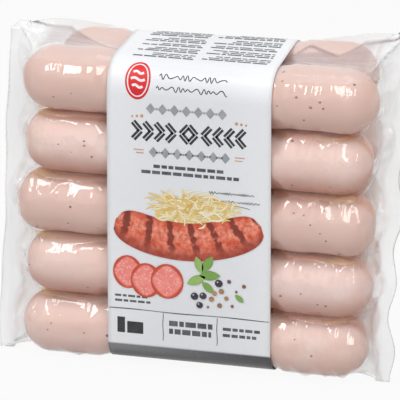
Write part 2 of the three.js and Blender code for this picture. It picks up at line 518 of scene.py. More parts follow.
def sausage_mesh(sausage, unevenness):
    """One sausage: a ball drawn out along the pack, with blunt domed ends and an uneven skin."""
    bm = bmesh.new()
    bmesh.ops.create_uvsphere(bm, u_segments=SEGMENTS, v_segments=RINGS, radius=1.0)
    piece = finished(bm, sausage.name)
    ball = vertex_points(piece.data).astype(float)
    polar = np.arccos(np.clip(ball[:, 2], -1, 1)) / math.pi
    turn = np.arctan2(ball[:, 1], ball[:, 0])
    x = drawn_out(sausage, 1 - polar)
    axis_y, axis_z, radius_y, radius_z = sausage.axis(x)
    past = sausage.dome(x)
    width = (1 - np.clip(past, 0, 1) ** sausage.blunt) ** (1 / sausage.blunt)
    width = np.where(np.abs(ball[:, 2]) > 0.99999, 0.0, width)
    pressed = np.abs(np.cos(turn)) ** sausage.PRESSED + np.abs(np.sin(turn)) ** sausage.PRESSED
    width = width * pressed ** (-1 / sausage.PRESSED)
    points = np.stack([
        x,
        axis_y + radius_y * width * np.cos(turn),
        axis_z + radius_z * width * np.sin(turn),
    ], 1)
    lumps = np.array([
        noise.noise(Vector(p) / 13.0 + Vector((sausage.seed, 0, 0)))
        + 0.45 * noise.noise(Vector(p) / 5.0 + Vector((0, sausage.seed, 0)))
        for p in points
    ])
    outward = np.stack([np.zeros_like(turn), np.cos(turn), np.sin(turn)], 1)
    sink = np.minimum(lumps, 0.0) * (unevenness / MM)
    points += outward * (sink * width)[:, None]
    place_vertices(piece.data, settled(points))
    for name, values in sausage_marks(sausage, turn, past).items():
        mark(piece.data, name, values)
    return piece


def sausage_finish(colours):
    """Pale, damp, slightly see-through sausage skin with mottling and specks, brown juice with
    painted shade in the seams between rows, and painted shade on the side facing down.
    """
    f = Finish("Sausage Skin")
    place = f.place()
    speckle = f.node("ShaderNodeGroup", {
        "Vector": place, "Mottle Scale": 55.0, "Speck Scale": 185.0, "Speck Size": 0.13,
        "Speck Share": 0.10,
    }, node_tree=group_speckle()).outputs
    flush = f.cloud(f.scaled(place, (0.5, 1, 1)), 38.0, 2.0)
    streak = f.cloud(f.scaled(place, (30, 110, 110)), 1.0)
    base = f.coats(
        tuple(colours.meat),
        (f.ramp(flush, 0.35, 0.7), tone(240, 205, 193)),
        (f.ramp(speckle["Mottle"], 0.42, 0.72), tone(250, 228, 219)),
        (f.ramp(f.cloud(place, 600.0, 2.0), 0.5, 0.75, 0.0, 0.35), tone(236, 196, 184)),
        # Painted shade on each sausage's side facing down.
        (f.number("under"), tone(194, 128, 104)),
        (f.number("ruddy"), tone(225, 188, 175)),
        (f.times(f.number("end"), 0.35), tone(226, 176, 156)),
        # Juice in the seams between rows, partly painted shade on the side facing down.
        (f.times(f.number("juice_and_shade"), f.ramp(streak, 0.2, 0.7, 0.75, 1.0)), tuple(colours.juice)),
        (f.times(speckle["Speck"], 0.85), tone(92, 62, 52)),
    )
    skin = f.body(
        Base_Color=base,
        Roughness=f.ramp(f.cloud(place, 260.0, 2.0), 0.3, 0.8, 0.34, 0.5),
        Subsurface_Weight=0.25,
        Subsurface_Radius=(0.006, 0.0025, 0.0015),
        Subsurface_Scale=0.5,
        IOR=1.4,
        Specular_IOR_Level=0.12,
        Normal=f.bump(f.cloud(place, 420.0, 4.0, 0.6), 0.12, 0.0004),
    )
    return f.surface(skin)


# Corns of pepper seen through the skin of the front row: row, distance across, height angle
PEPPER = (
    (4, 47.0, 20.0, 0.62), (4, 57.4, 15.0, 0.6), (4, 53.4, 4.0, 0.72), (4, 59.0, 4.0, 0.66),
    (4, 50.4, -22.0, 0.6), (4, 38.6, 4.0, 0.45), (4, 40.0, 48.0, 0.6), (3, 45.0, -34.0, 0.45),
    (3, 62.0, -30.0, 0.4), (2, 46.0, 32.0, 0.6), (2, 50.4, 30.0, 0.5), (2, 53.6, 14.0, 0.55),
    (2, 58.0, 0.0, 0.4), (1, 40.6, -10.0, 0.6), (1, 57.0, -20.0, 0.4), (0, 54.6, -4.0, 0.6),
    (0, 47.0, 24.0, 0.4), (3, -46.6, 20.0, 0.55), (3, -46.4, 12.0, 0.55), (3, -43.0, -8.0, 0.5),
    (3, -58.0, 10.0, 0.4), (4, -60.0, -18.0, 0.55), (4, -52.0, -8.0, 0.4), (1, -45.6, -30.0, 0.6),
    (2, -54.0, -24.0, 0.45), (0, -47.0, 2.0, 0.4), (2, -41.0, -30.0, 0.35), (0, -62.0, 14.0, 0.45),
)


def skin_place(sausage, x, angle, depth):
    """A place under a sausage's skin, at a distance along it and an angle up from level."""
    axis_y, axis_z, radius_y, radius_z = sausage.axis(np.array(x))
    turn = math.radians(angle)
    level, rise = math.cos(turn), math.sin(turn)
    pressed = (abs(level) ** sausage.PRESSED + abs(rise) ** sausage.PRESSED) ** (
        -1 / sausage.PRESSED)
    return np.array([
        x,
        axis_y + sausage.layer * (radius_y * pressed * level - depth),
        axis_z + (radius_z * pressed - depth) * rise,
    ])


def pepper_mesh():
    """Flat crumbs of pepper that show in the skin, the back row's scattered by chance."""
    rng = random.Random(12)
    crumbs = [(FRONT, *corn) for corn in PEPPER]
    for _ in range(70):
        x = rng.uniform(-72, 72)
        crumbs.append((
            rng.choice((FRONT, BACK, BACK)), rng.randrange(ROWS), x, rng.uniform(-50, 50),
            rng.uniform(0.22, 0.5)))
    bm = bmesh.new()
    for layer, row, x, angle, size in crumbs:
        sausage = next(s for s in SAUSAGES if s.layer == layer and s.row == row)
        place = settled(skin_place(sausage, x, angle, 0.1))
        made = bmesh.ops.create_icosphere(bm, subdivisions=2, radius=1.0)["verts"]
        for vert in made:
            grain = 1 + 0.35 * noise.noise(vert.co * 1.7 + Vector((x, angle, 0)))
            flat = Vector((size * grain, 0.22, size * 0.85 * grain))
            vert.co = Vector(place + np.array(vert.co * flat)) * MM
    return finished(bm, "pepper_crumbs")


def pepper_finish():
    """Grey-brown pepper crumbs under a thin skin."""
    f = Finish("Pepper Crumbs")
    grain = f.cloud(f.place(), 1400.0)
    return f.surface(f.body(
        Base_Color=f.mix(f.ramp(grain, 0.3, 0.7), tone(112, 84, 75), tone(166, 134, 122)),
        Roughness=f.ramp(grain, 0.3, 0.7, 0.5, 0.7),
        Normal=f.bump(grain, 0.2, 0.0002),
    ))


class PACK_OT_pepper(bpy.types.Operator):
    """Sets crumbs of pepper in the skins of the sausages"""

    bl_idname = "sausage_pack.pepper"
    bl_label = "Build pepper crumbs"

    def execute(self, context):
        piece = pepper_mesh()
        piece.data.materials.append(pepper_finish())
        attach(piece, "root")
        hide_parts("pouch")
        return {"FINISHED"}


class PACK_OT_sausages(bpy.types.Operator):
    """Builds the ten sausages, each a little different"""

    bl_idname = "sausage_pack.sausages"
    bl_label = "Build sausages"

    def execute(self, context):
        scene = context.scene
        finish = sausage_finish(scene.pack_colours)
        for sausage in SAUSAGES:
            piece = sausage_mesh(sausage, scene.pack_sizes.unevenness)
            piece.data.materials.append(finish)
            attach(piece, "root")
            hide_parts("pouch")
        return {"FINISHED"}


# ---- film -----------------------------------------------------------------------------------

# Steps round the film's loop, over each face and over the top or the foot
FRONT_STEPS = 150
TOP_STEPS = 50
AROUND = 2 * (FRONT_STEPS + TOP_STEPS)
# Rings of the film from the middle out: under the band, body, dome, tail and flange
MIDDLE_COUNT = 12
BODY_COUNT = 28
DOME_COUNT = 24
TAIL_COUNT = 11
FLANGE_COUNT = 6
HALF_COUNT = MIDDLE_COUNT + BODY_COUNT + DOME_COUNT + TAIL_COUNT + FLANGE_COUNT
STATIONS = 2 * HALF_COUNT + 1
# Furthest the film may stand out, and how strongly it bends light
FILM_DEPTH = LAYER_DEPTH + 0.3
FILM_BEND = 1.72
BAND_EDGE = BAND_HALF_WIDTH + 2 * BAND_GAP
# Where the slack film over the top leaves the back sausages: distance along the pack and depth
WEB_LINE = ((-64, 13.5), (-42, -7.0), (38, 4.0), (44, 11.0), (58, 3.0), (67, 13.5))
# Shares of the outline taken by half a valley and by the round of the top row's film
VALLEY_SHARE = 0.125
CAP_ARC = 0.8
# Distance between the two plies of a flange
FLANGE_PLY_GAP = 0.36
# Film under the band that stays as it is, and how strongly each pass pulls the film straight
HELD_MARGIN = 6.0
TENSION = 0.9
# Steps round the loop that share one uneven suction
WANDER_STEP = 8
# How far each pass sucks the film in, on the faces and over the top and the foot
SUCTION = 0.075
CAP_SUCTION = 0.002
# Where each ear starts and is full, out from the middle, and its share of the ears' rise
EARS = {-1: (44, 66, 0.45), 1: (44, 80, 1.3)}
EAR_DEPTH = 20.0
# Share of the way from front to back at which the ears' ridges lie
EAR_SHARE = 0.8
# Creased facets of the film, left (-1) and right (1): seeds, first and last places out from
# the middle, lengths, heights up the sausage as angles, and slopes
FACET_SEEDS = {-1: 1, 1: 11}
FACET_START = 45.0
FACET_STOP = 84.0
FACET_LONG = {-1: (8.0, 15.0), 1: (6.0, 12.0)}
FACET_ANGLES = (41.0, -6.0, -50.0)
FACET_SLOPES = {-1: (0.0, 0.11), 1: (0.2, 0.5)}


def row_span(row):
    """Angles between which the film touches a row, and their shares of the row's steps."""
    return (
        -CORNER_ANGLE if row == 0 else -VALLEY_ANGLE,
        CORNER_ANGLE if row == ROWS - 1 else VALLEY_ANGLE,
        0.0 if row == 0 else VALLEY_SHARE,
        1.0 if row == ROWS - 1 else 1 - VALLEY_SHARE,
    )


def outline_point(height, layer):
    """The film's outline round the stack, away from the ends: depth, height and ridge."""
    side = -1 if layer < 0.5 else 1
    if 0 < layer < 1:
        near = 2 * min(layer, 1 - layer)
        above = height > 0.5
        centre = row_centre(ROWS - 1 if above else 0)
        way = 1 if above else -1
        angle = between(CORNER_ANGLE, WEB_ANGLE, min(near / CAP_ARC, 1.0))
        depth = HALF_DEPTH + HALF_DEPTH * math.cos(angle)
        z = HALF_PITCH * math.sin(angle)
        if near > CAP_ARC:
            share = (near - CAP_ARC) / (1 - CAP_ARC)
            depth = between(depth, 0.0, share)
            z = between(z, HALF_PITCH - WEB_SAG, share)
        return side * depth, centre + way * z, 1.0 if near <= CAP_ARC else 0.4
    row = min(int(height * ROWS), ROWS - 1)
    step = height * ROWS - row
    start, stop, low, high = row_span(row)
    inner = min(max((step - low) / (high - low), 0.0), 1.0)
    angle = between(start, stop, inner)
    depth = HALF_DEPTH + HALF_DEPTH * math.cos(angle)
    z = row_centre(row) + HALF_PITCH * math.sin(angle)
    ridge = math.cos(angle) ** 2
    edge = max(
        (low - step) / VALLEY_SHARE if low else 0.0,
        (step - high) / VALLEY_SHARE if high < 1 else 0.0)
    if edge > 0:
        depth = between(depth, LAYER_DEPTH - VALLEY_DEPTH, edge)
        z = between(z, (row + (1 if step > 0.5 else 0)) * ROW_PITCH, edge)
        ridge = between(ridge, 0.0, edge)
    return side * depth, z, ridge


def row_step(row, angle):
    """How far up a row's share of the outline an angle round its sausage lies, from 0 to 1."""
    start, stop, low, high = row_span(row)
    return between(low, high, (angle - start) / (stop - start))


def loop_shares():
    """Height and layer shares of each step round the film's loop."""
    faces = [n / FRONT_STEPS for n in range(FRONT_STEPS)]
    caps = [n / TOP_STEPS for n in range(TOP_STEPS)]
    return np.array(
        [(share, 0.0) for share in faces] + [(1.0, share) for share in caps]
        + [(1 - share, 1.0) for share in faces] + [(0.0, 1 - share) for share in caps])


def flange_line(side, height):
    """Middle of a sealed flange at a share of its height."""
    wave = FLANGE_WAVE * np.sin(height * 11 + side * 2.1)
    tuck = side * CORNER_TUCK * height ** 6
    valley = 0.5 + 0.5 * np.cos(2 * math.pi * ROWS * height)
    tuck = tuck + FLANGE_SCALLOP[side] * valley * (1 - smooth(height, 0.9, 1.0))
    return (
        FLANGE_REACH[side] - tuck + wave,
        between(FLANGE_FOOT_Y, FLANGE_TOP_Y[side], height ** (1 + side * 0.6)) + wave,
        between(FLANGE_FOOT, FLANGE_TOP_Z[side], height),
    )


def half_stations(end, outer):
    """Distances out from the middle of the film's rings, and how far past the dome's start."""
    dome_start = end - DOME_LENGTH
    tail = dome_start + TAIL_END * DOME_LENGTH
    columns, reaches = [], []

    def add(place, reach):
        columns.append(np.broadcast_to(place, end.shape))
        reaches.append(np.full_like(end, reach))

    for n in range(MIDDLE_COUNT):
        add(BAND_EDGE * n / MIDDLE_COUNT, 0.0)
    for n in range(BODY_COUNT):
        add(between(BAND_EDGE, dome_start, n / BODY_COUNT), 0.0)
    for n in range(DOME_COUNT):
        reach = TAIL_START * math.sin(n / DOME_COUNT * math.pi / 2)
        add(dome_start + reach * DOME_LENGTH, reach)
    for n in range(TAIL_COUNT):
        reach = between(TAIL_START, TAIL_END, n / TAIL_COUNT)
        add(dome_start + reach * DOME_LENGTH, reach)
    for n in range(FLANGE_COUNT + 1):
        add(between(tail, outer, n / FLANGE_COUNT), 2.0)
    return np.array(columns), np.array(reaches)


def dome_share(reach, fall):
    """Share of the way out from the flange to the skin left past the start of a dome."""
    inner = np.clip(reach, 0, TAIL_START)
    dome = 1 - fall * (1 - np.sqrt(1 - inner ** 2))
    last = 1 - fall * (1 - math.sqrt(1 - TAIL_START ** 2))
    rest = np.clip((TAIL_END - reach) / (TAIL_END - TAIL_START), 0, 1)
    return np.where(reach <= TAIL_START, dome, last * rest ** 1.25)


class FilmShape:
    """The film's grid of points: rings along the pack by steps round the loop."""

    def __init__(self, sizes):
        self.gap = sizes.film_gap / MM
        self.ear = sizes.ear_rise / MM
        self.crumple = sizes.crumple / MM
        self.height, self.layer = loop_shares().T
        body = np.array([outline_point(*share) for share in zip(self.height, self.layer)])
        left, right = (self.half(side, body) for side in (0, 1))
        self.points = np.concatenate([left[0][::-1], right[0][1:]], 0)
        self.reach = np.concatenate([left[1][::-1], right[1][1:]], 0)

    def half(self, side, body):
        """Points and reaches of the left half, side 0, or the right, out from the middle."""
        front = between_rows(FRONT_ENDS[side], self.height)
        back = between_rows(BACK_ENDS[side], self.height)
        end = between(front, back, self.layer) - VALLEY_RETREAT * (1 - body[:, 2])
        line_x, line_y, line_z = flange_line(side, self.height)
        x, reach = half_stations(end, line_x)
        fall = np.minimum(0.5, HALF_DEPTH / np.maximum(np.abs(body[:, 0] - line_y), 1.0))
        share = dome_share(reach, fall)
        deep, tall = squeezed(x)
        middle = STACK_HEIGHT / 2
        body_y = body[:, 0] * deep
        body_z = middle + (body[:, 1] - middle) * tall
        fin = FLANGE_PLY_GAP * (self.layer - 0.5)
        if side == 0:
            opening = smooth(self.height, 0.93, 1.0) * self.layer
            fin = fin + GUSSET_DEPTH * opening
            x = x - GUSSET_TUCK * opening * smooth(reach, TAIL_START, TAIL_END)
        y = between(line_y + fin, body_y, share)
        z = between(line_z, body_z, share)
        return np.stack([(2 * side - 1) * x, y, z], 2), reach

    def settle(self, passes):
        """Draws the film onto the sausages: tension along it, suction into the gaps."""
        points = self.points
        x = points[..., 0]
        start = points.copy()
        fixed = (self.reach >= TAIL_END) | (np.abs(x) < BAND_EDGE - HELD_MARGIN)
        free = (~fixed)[..., None]
        on_cap = (self.layer > 0) & (self.layer < 1)
        suck = np.where(on_cap, CAP_SUCTION, SUCTION)[None, :]
        wander = np.array([
            [noise.noise(Vector((p[0] / 16, p[1] / 30, p[2] / 30))) for p in ring[::WANDER_STEP]]
            for ring in points
        ])
        wander = np.repeat(wander, WANDER_STEP, axis=1)[:, :AROUND]
        suck = suck * (1 + 0.9 * wander)
        ear, ear_goal = self.ear_ridge(start)
        near_rows = [
            np.flatnonzero(
                (np.abs(self.height * ROWS - 0.5 - s.row) < 1.3)
                & ((self.layer < 0.75) if s.layer == FRONT else (self.layer > 0.25))
            )
            for s in SAUSAGES
        ]
        for _ in range(passes):
            around = (np.roll(points, 1, 1) + np.roll(points, -1, 1)) / 2
            along = points.copy()
            along[1:-1] = (points[2:] + points[:-2]) / 2
            normal = self.normals(points)
            moved = points + TENSION * ((around + along) / 2 - points) - normal * suck[..., None]
            moved = np.where(free, moved, start)
            for sausage, columns in zip(SAUSAGES, near_rows):
                out, _ = sausage.pushed_out(moved[:, columns], self.gap)
                moved[:, columns] = out
            moved[ear] = ear_goal
            points = np.where(free, moved, start)
        self.points = points

    def ear_ridge(self, start):
        """Grid places of the two loose ears' ridges, and where they stand."""
        column = FRONT_STEPS + int(TOP_STEPS * EAR_SHARE)
        chosen = np.zeros(start.shape[:2], bool)
        goals = np.zeros_like(start)
        for ring in range(STATIONS):
            x, y, z = start[ring, column]
            past = self.reach[ring, column]
            begin, full, rise = EARS[-1 if x < 0 else 1]
            share = float(smooth(abs(x), begin, full))
            if past >= TAIL_END or share <= 0.03:
                continue
            chosen[ring, column] = True
            top = STACK_HEIGHT + 0.3 + rise * self.ear * share
            blend = float(smooth(past, 0.2, TAIL_END))
            goals[ring, column] = (
                x, between(EAR_DEPTH, y, blend), between(top, max(z, top), blend))
        return chosen, goals[chosen]

    def normals(self, points):
        """Outward directions at each point of the grid."""
        around = np.roll(points, -1, 1) - np.roll(points, 1, 1)
        along = np.empty_like(points)
        along[1:-1] = points[2:] - points[:-2]
        along[0] = points[1] - points[0]
        along[-1] = points[-1] - points[-2]
        normal = np.cross(along, around)
        length = np.linalg.norm(normal, axis=2, keepdims=True)
        return normal / np.maximum(length, 1e-9)

    def clearance(self, points):
        """Distance from each point to the nearest sausage."""
        least = np.full(points.shape[:2], 99.0)
        for sausage in SAUSAGES:
            _, distance = sausage.pushed_out(points, 0.0)
            least = np.minimum(least, distance)
        return least

    def facet_seeds(self):
        """Flat facets: side, loop step, place along the pack, two slopes, lift and slant."""
        per_row = FRONT_STEPS / ROWS
        back_start = FRONT_STEPS + TOP_STEPS
        seeds = []
        for way in (-1, 1):
            rng = np.random.default_rng(FACET_SEEDS[way])
            for layer, row, angle in itertools.product(
                    (FRONT, BACK), range(ROWS), FACET_ANGLES):
                at_x = FACET_START + rng.uniform(-4.0, 4.0)
                while at_x < FACET_STOP:
                    turn = angle + rng.uniform(-5.0, 4.0)
                    step = (row + row_step(row, math.radians(turn))) * per_row
                    if layer == BACK:
                        step = back_start + FRONT_STEPS - step
                    gentle = rng.uniform(*FACET_SLOPES[way])
                    steep = rng.uniform(0.25, 0.6)
                    seeds.append((
                        way, step, at_x, gentle, steep, rng.uniform(0.0, 0.3),
                        rng.uniform(-0.45, 0.45)))
                    at_x += rng.uniform(*FACET_LONG[way])
        return seeds

    def facets(self, points):
        """Height of flat creased facets that touch the sausages only at scattered places."""
        middle = points[HALF_COUNT]
        run = np.concatenate(
            [[0], np.cumsum(np.linalg.norm(np.diff(middle, axis=0), axis=1))])
        rise = np.full(points.shape[:2], 99.0)
        halves = {-1: slice(0, HALF_COUNT), 1: slice(HALF_COUNT + 1, STATIONS)}
        for way, step, at_x, gentle, steep, lift, slant in self.facet_seeds():
            rows = halves[way]
            at_run = np.interp(step, np.arange(AROUND), run)
            along = np.abs(points[rows, :, 0]) - at_x
            around = run[None, :] - at_run + slant * along
            height = around ** 2 / (2 * HALF_DEPTH) + lift
            height = height + np.maximum(-gentle * along, steep * along)
            rise[rows] = np.minimum(rise[rows], height)
        return rise

    def wrinkle(self):
        """Raises creases and flat facets in the film near the ends of the sausages."""
        points = self.points
        normal = self.normals(points)
        x = points[..., 0]
        spare = self.clearance(points)
        free = smooth(spare, 0.5, 2.5)
        inner = self.reach < TAIL_END
        near_end = smooth(np.abs(x), 37.5, 45) * inner
        on_face = (self.layer == 0) | (self.layer == 1)
        facets = np.minimum(self.facets(points), 2.0) * on_face
        pulls = np.zeros(points.shape[:2])
        for place in zip(*np.nonzero(near_end > 0)):
            along, depth, height = points[place]
            pulls[place] = 1 - abs(
                2 * noise.noise(Vector((along / 22, depth / 4.2, height / 4.2))))
        lift = near_end * (self.crumple * facets + 0.35 * free * (pulls - 0.6))
        lift += 0.3 * (self.reach > 0.9) * inner * (pulls - 0.7)
        points = points + normal * lift[..., None]
        for sausage in SAUSAGES:
            points, _ = sausage.pushed_out(points, self.gap * 0.8)
        points[..., 1] = np.clip(points[..., 1], -FILM_DEPTH, FILM_DEPTH)
        self.points = np.where((self.reach >= TAIL_END)[..., None], self.points, points)


def open_tube(segments, cuts):
    """An open tube, with each vertex's place along it, -1 to 1, and its step round it."""
    bm = bmesh.new()
    bmesh.ops.create_cone(
        bm, cap_ends=False, segments=segments, radius1=1.0, radius2=1.0, depth=2.0)
    long_edges = [e for e in bm.edges if abs(e.verts[0].co.z - e.verts[1].co.z) > 1.0]
    bmesh.ops.subdivide_edges(bm, edges=long_edges, cuts=cuts, use_grid_fill=True)
    along = np.array([vert.co.z for vert in bm.verts])
    turns = np.array([math.atan2(vert.co.y, vert.co.x) for vert in bm.verts])
    steps = np.rint(turns / math.tau * segments).astype(int) % segments
    return bm, along, steps


def film_marks(shape):
    """Numbers at each point of the film that its material reads, by name."""
    spare = shape.clearance(shape.points)
    x, y = shape.points[..., 0], shape.points[..., 1]
    bag = 1 - (shape.reach >= TAIL_END)
    face = (shape.layer == 0) | (shape.layer == 1)
    cap = np.broadcast_to(~face, spare.shape).astype(float)
    outside = bag * smooth(np.abs(x), BAND_EDGE - 2, BAND_EDGE)
    step = shape.height * ROWS
    valley = smooth(np.abs(step % 1 - 0.5), 0.33, 0.45) * (step > 0.5) * (step < ROWS - 0.5)
    line = np.interp(x, *np.transpose(WEB_LINE))
    off_line = np.minimum(WEB_LINE[0][1] + y, line - y)
    return {
        "haze": smooth(spare, 0.6, 4.5),
        "flange": 1 - bag,
        "juice": (
            valley * face * outside * smooth(-shape.reach, -1.0, -0.6)
            * (1 + 0.7 * smooth(np.abs(x), 56, 68))),
        "cap": cap * bag,
        # Painted shade: the milk greyed where the loose web hangs over the gap between the two
        # layers.
        "web": (
            cap * smooth(spare, 0.3, 1.4) * smooth(off_line, 0.0, 1.2) * outside
            * smooth(-shape.reach, -0.9, -0.5)),
        # Painted shade: a dark line along the web's fold.
        "crease": cap * outside * (1 - smooth(np.abs(line - y), 0.3, 2.2)),
        "side": smooth(shape.reach, 0.8, 1.08) * bag,
        "loose": smooth(np.abs(x), 50, 64) * bag,
    }


def film_mesh(sizes):
    """The clear bag, drawn tight over the sausages, with its sealed flanges and loose ears."""
    shape = FilmShape(sizes)
    shape.settle(sizes.settle_passes)
    shape.wrinkle()
    bm, along, steps = open_tube(AROUND, STATIONS - 2)
    rings = np.rint((along + 1) / 2 * (STATIONS - 1)).astype(int)
    points = settled(shape.points)
    points[..., 2] = np.maximum(points[..., 2], 0.0)
    for vert, place in zip(bm.verts, points[rings, steps]):
        vert.co = place * MM
    marks = film_marks(shape)
    layers = {name: bm.verts.layers.float.new(name) for name in marks}
    for vert, ring, step in zip(bm.verts, rings, steps):
        for name, layer in layers.items():
            vert[layer] = float(marks[name][ring, step])
    rims = [v for v, ring in zip(bm.verts, rings) if ring in (0, STATIONS - 1)]
    bmesh.ops.remove_doubles(bm, verts=rims, dist=0.00045)
    bmesh.ops.holes_fill(bm, edges=[e for e in bm.edges if e.is_boundary], sides=0)
    bmesh.ops.recalc_face_normals(bm, faces=bm.faces)
    return finished(bm, "film_bag")


# How much of the film its milky layer covers, for each kind of place marked on it
MILKY = (
    ("haze", 0.08), ("flange", 0.32), ("cap", 0.18), ("web", 0.3), ("side", 0.38),
    ("juice", 0.36), ("crease", 0.3),
)


def film_finish():
    """Thin clear glossy film: a Fresnel sheen over clear, milky where it lies loose or doubled,
    with painted shade in the web and along its crease.
    """
    f = Finish("Clear Film")
    place = f.place()
    soft = f.bump(f.cloud(place, 170.0, 2.0, 0.5, 0.6), 0.05, 0.0006)
    folds = f.ramp(f.cloud(f.scaled(place, (320, 120, 90)), 1.0, 2.0), 0.42, 0.58)
    creased = f.bump(f.times(folds, f.number("loose")), 0.22, 0.0006, soft)
    fine = f.bump(f.cloud(f.scaled(place, (300, 900, 900)), 1.0, 2.0), 0.03, 0.0003, creased)
    inside = f.node("ShaderNodeNewGeometry").outputs["Backfacing"]
    bend = f.sum("SUBTRACT", FILM_BEND, f.times(inside, FILM_BEND - 1 / FILM_BEND))
    sheen = f.node("ShaderNodeFresnel", {"IOR": bend, "Normal": fine})
    clear = f.node("ShaderNodeBsdfTransparent", {"Color": (0.985, 0.985, 0.985, 1)})
    gloss = f.node("ShaderNodeBsdfGlossy", {
        "Color": (1, 1, 1, 1), "Roughness": 0.015, "Normal": fine})
    film = f.blend(sheen.outputs["Fac"], clear.outputs[0], gloss.outputs[0])
    brown = f.mix(f.number("loose"), tone(234, 176, 150), tone(226, 184, 142))
    milky = f.coats(
        tone(247, 248, 249),
        # Painted shade: a grey-lilac copy of the milk in the web.
        (f.number("web"), tone(192, 176, 179)),
        # Painted shade: a dark line of milk along the crease.
        (f.number("crease"), tone(140, 122, 120)),
        (f.number("juice"), brown),
    )
    milk = f.body(Base_Color=milky, Roughness=0.3, Normal=soft)
    streaks = f.ramp(f.cloud(f.scaled(place, (90, 60, 20)), 1.0, 2.0), 0.3, 0.75, 0.75, 1.0)
    cover = 0.0
    for name, amount in MILKY:
        cover = f.sum("ADD", cover, f.times(f.number(name), amount))
    return f.surface(f.blend(f.times(cover, streaks), film, milk))


class PACK_OT_film(bpy.types.Operator):
    """Draws the clear film over the sausages"""

    bl_idname = "sausage_pack.film"
    bl_label = "Build film bag"

    def execute(self, context):
        piece = film_mesh(context.scene.pack_sizes)
        piece.data.materials.append(film_finish())
        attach(piece, "root")
        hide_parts("pouch")
        return {"FINISHED"}


# ---- paper band -----------------------------------------------------------------------------


def bezier(start, control, stop, steps):
    """Points along a curve bent by one control point, without the last."""
    shares = np.linspace(0, 1, steps, endpoint=False)[:, None]
    start, control, stop = (np.array(p, float) for p in (start, control, stop))
    return (1 - shares) ** 2 * start + 2 * shares * (1 - shares) * control + shares ** 2 * stop


class BandPath:
    """The band's outer face as a path round the pack, measured up from the front crease."""

    def __init__(self):
        out = BAND_GAP + BAND_THICKNESS
        front = LAYER_DEPTH - SQUEEZE + out
        axis_y = HALF_DEPTH * (1 - SQUEEZE / LAYER_DEPTH)
        top = STACK_HEIGHT - SQUEEZE + out
        foot = SQUEEZE - out
        shoulder = HALF_PITCH + out
        crease_y = between(axis_y, front, 0.775)
        lap = BAND_THICKNESS
        pieces = [
            [(-front, BAND_CREASE_Z), (-front, BAND_CREASE_Z + 0.5)],
            bezier((-front, top - shoulder), (-front, top), (-axis_y, top), 40),
            bezier((-axis_y, top), (0, top), (axis_y, top), 8),
            bezier((axis_y, top), (front, top), (front, top - shoulder), 40),
            [
                (front, top - shoulder), (front, BAND_SEAM[1] + lap),
                (front + lap, BAND_SEAM[1]), (front + lap, BAND_SEAM[0]),
                (front, BAND_SEAM[0] - lap), (front, BAND_CREASE_Z + 0.5),
            ],
            bezier((front, BAND_CREASE_Z), (crease_y, foot), (axis_y, foot), 24),
            bezier((axis_y, foot), (0, foot), (-axis_y, foot), 8),
            bezier((-axis_y, foot), (-crease_y, foot), (-front, BAND_CREASE_Z), 24),
            [(-front, BAND_CREASE_Z)],
        ]
        self.path = np.concatenate([np.array(p, float) for p in pieces])
        steps = np.linalg.norm(np.diff(self.path, axis=0), axis=1)
        self.run = np.concatenate([[0], np.cumsum(steps)])
        self.length = float(self.run[-1])
        self.shoulder_run = top - shoulder - BAND_CREASE_Z

    def at(self, up):
        """Depth and height of the band's face at a distance up its path."""
        return np.array([np.interp(up % self.length, self.run, line) for line in self.path.T])

    def points(self, across, up, out=0.0):
        """Places on the band, across it and up its path, raised off the paper by out."""
        y, z = self.at(up)
        dy, dz = self.at(up + 0.4) - self.at(up - 0.4)
        length = np.maximum(np.hypot(dy, dz), 1e-9)
        return np.stack([
            np.broadcast_to(np.asarray(across, float), y.shape),
            y - out * dz / length,
            z + out * dy / length,
        ], -1)


BAND = BandPath()
BAND_STEPS = len(BAND.run) - 1
BAND_RINGS = 30


def band_mesh():
    """The paper band: one thin closed strip round the pack."""
    bm, along, steps = open_tube(BAND_STEPS, BAND_RINGS - 1)
    across, up = along * BAND_HALF_WIDTH, BAND.run[steps]
    for vert, place in zip(bm.verts, settled(BAND.points(across, up))):
        vert.co = place * MM
    bm.normal_update()
    middle = sum((vert.co for vert in bm.verts), Vector()) / len(bm.verts)
    if sum(face.normal.dot(face.calc_center_median() - middle) for face in bm.faces) < 0:
        bmesh.ops.reverse_faces(bm, faces=bm.faces)
    return finished(bm, "paper_band"), across, up


def band_finish(colours):
    """White coated paper with a faint tooth, cooler and darker towards the middle."""
    f = Finish("Band Paper")
    place = f.place()
    across = f.number("across")
    up = f.number("up")
    cloudy = f.cloud(place, 22.0, 2.0)
    middle = f.sum("SUBTRACT", 1.0, f.ramp(f.sum("ABSOLUTE", across), 0.3, 1.0))
    shadow = f.coats(
        tone(132, 133, 136),
        (f.ramp(across, -1.0, 1.0), tone(62, 62, 66)),
        (f.ramp(up, 0.5, 1.0), tone(44, 44, 47)),
    )
    paper = f.coats(
        tuple(colours.paper),
        (f.times(middle, 0.5), tone(222, 226, 231)),
        (f.ramp(cloudy, 0.3, 0.8, 0.0, 0.25), tone(228, 230, 233)),
        (f.ramp(up, 0.0, 0.5), shadow),
        (f.ramp(f.tooth(0.36, 0.5)["Height"], 0.5, 0.8, 0.0, 0.12), tone(205, 207, 210)),
    )
    return f.surface(f.paper_body(
        paper, 0.36, 0.5,
        Coat_Weight=f.ramp(cloudy, 0.2, 0.8, 0.1, 0.25),
        Coat_Roughness=0.25,
        Normal=f.bump(cloudy, 0.12, 0.0015),
    ))


